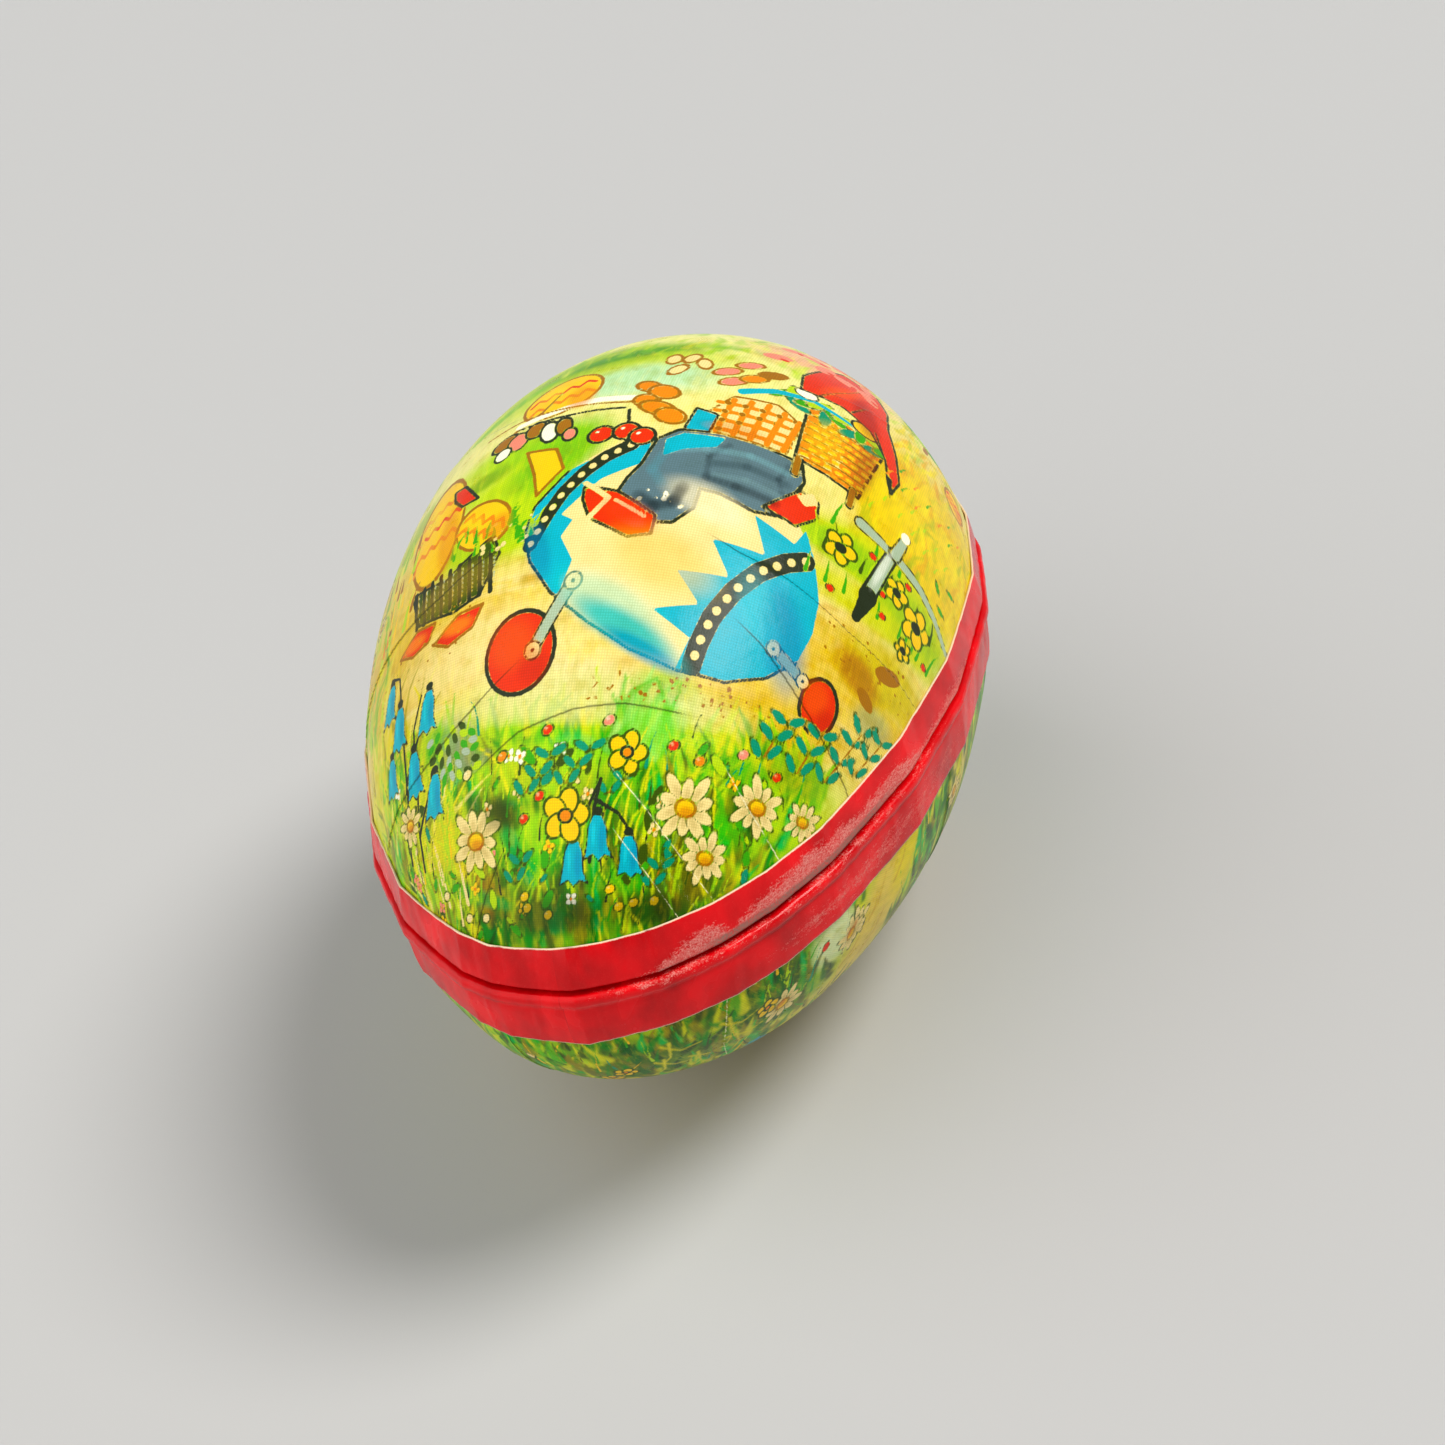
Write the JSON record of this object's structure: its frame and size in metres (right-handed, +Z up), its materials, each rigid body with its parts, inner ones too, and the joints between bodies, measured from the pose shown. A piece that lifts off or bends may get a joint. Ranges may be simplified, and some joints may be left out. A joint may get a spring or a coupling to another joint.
{
  "type": "paper egg box",
  "caption": "Egg-shaped sweets box in two halves of moulded paper pulp, covered with a printed meadow picture and bound in red at the rims, with a lift-off lid.",
  "frame": {"origin": "under the middle of the egg's length, on the surface that it rests on", "axes": "+X along the egg towards its narrow end, +Z up, square to the seam between base and lid, +Y across the egg"},
  "size_m": [0.0769, 0.0516, 0.0502],
  "materials": {
    "printed_paper": "varnished offset print",
    "pulp": "raw moulded pulp",
    "lining_paper": "matt",
    "red_glazed_paper": "glazed",
    "grey_card": "matt card"
  },
  "bodies": {
    "base": {"lower_print": "printed_paper", "lower_shell": "pulp", "lower_lining": "lining_paper", "lower_edge_tape": "red_glazed_paper", "collar": "grey_card"},
    "lid": {"upper_print": "printed_paper", "upper_shell": "pulp", "upper_lining": "lining_paper", "upper_edge_tape": "red_glazed_paper"}
  },
  "joints": [
    {"name": "lid_lift", "type": "slide", "parent": "base", "child": "lid", "axis": [0, 0, 1], "range_m": [0, 0.04]}
  ]
}
